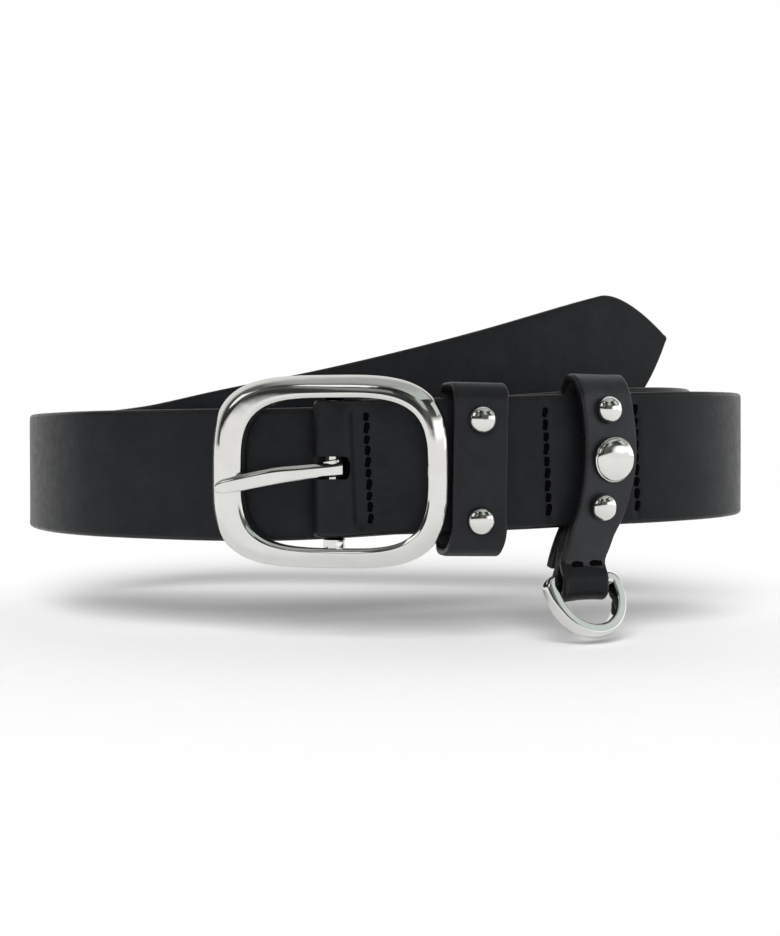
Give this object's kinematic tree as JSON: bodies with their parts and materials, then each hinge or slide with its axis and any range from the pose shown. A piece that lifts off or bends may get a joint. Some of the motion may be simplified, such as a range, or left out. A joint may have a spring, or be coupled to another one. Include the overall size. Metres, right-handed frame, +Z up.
{
  "type": "studded leather belt",
  "caption": "Black leather belt coiled on edge, with a rounded centre-bar buckle, a riveted keeper loop, and a studded hanger strap that carries a metal ring.",
  "frame": {"origin": "middle of the coil at the height of the strap's lower edge", "axes": "+X along the buckle side of the coil towards the keeper and hanger, +Y away from the buckle through the coil, +Z up across the strap's width"},
  "size_m": [0.2214, 0.1321, 0.0958],
  "materials": {
    "strap": "smooth semi-gloss black",
    "keeper": "smooth semi-gloss black",
    "hanger_strap": "smooth semi-gloss black",
    "keeper_rivet_top": "polished nickel plate",
    "keeper_rivet_bottom": "polished nickel plate",
    "hanger_rivet_top": "polished nickel plate",
    "hanger_rivet_bottom": "polished nickel plate",
    "hanger_cap": "polished nickel plate",
    "buckle_frame": "polished nickel plate",
    "prong": "polished nickel plate",
    "d_ring": "polished nickel plate"
  },
  "bodies": {
    "leather": {"strap": "strap", "keeper": "keeper", "keeper_rivet_top": "keeper_rivet_top", "keeper_rivet_bottom": "keeper_rivet_bottom", "hanger_strap": "hanger_strap", "hanger_rivet_top": "hanger_rivet_top", "hanger_rivet_bottom": "hanger_rivet_bottom", "hanger_cap": "hanger_cap"},
    "buckle": {"buckle_frame": "buckle_frame"},
    "prong": {"prong": "prong"},
    "ring": {"d_ring": "d_ring"}
  },
  "joints": [
    {"name": "buckle_hinge", "type": "hinge", "parent": "leather", "child": "buckle", "pos_m": [-0.0094, -0.0636, 0.0186], "axis": [0, 0, 1], "range_deg": [-1, 4]},
    {"name": "prong_hinge", "type": "hinge", "parent": "buckle", "child": "prong", "pos_m": [-0.0094, -0.0636, 0.0196], "axis": [0, 0, 1], "range_deg": [0, 85]},
    {"name": "ring_hinge", "type": "hinge", "parent": "leather", "child": "ring", "pos_m": [0.05504, -0.05877, -0.0102], "axis": [0.8655, 0.5009, 0], "range_deg": [-60, 75]}
  ]
}
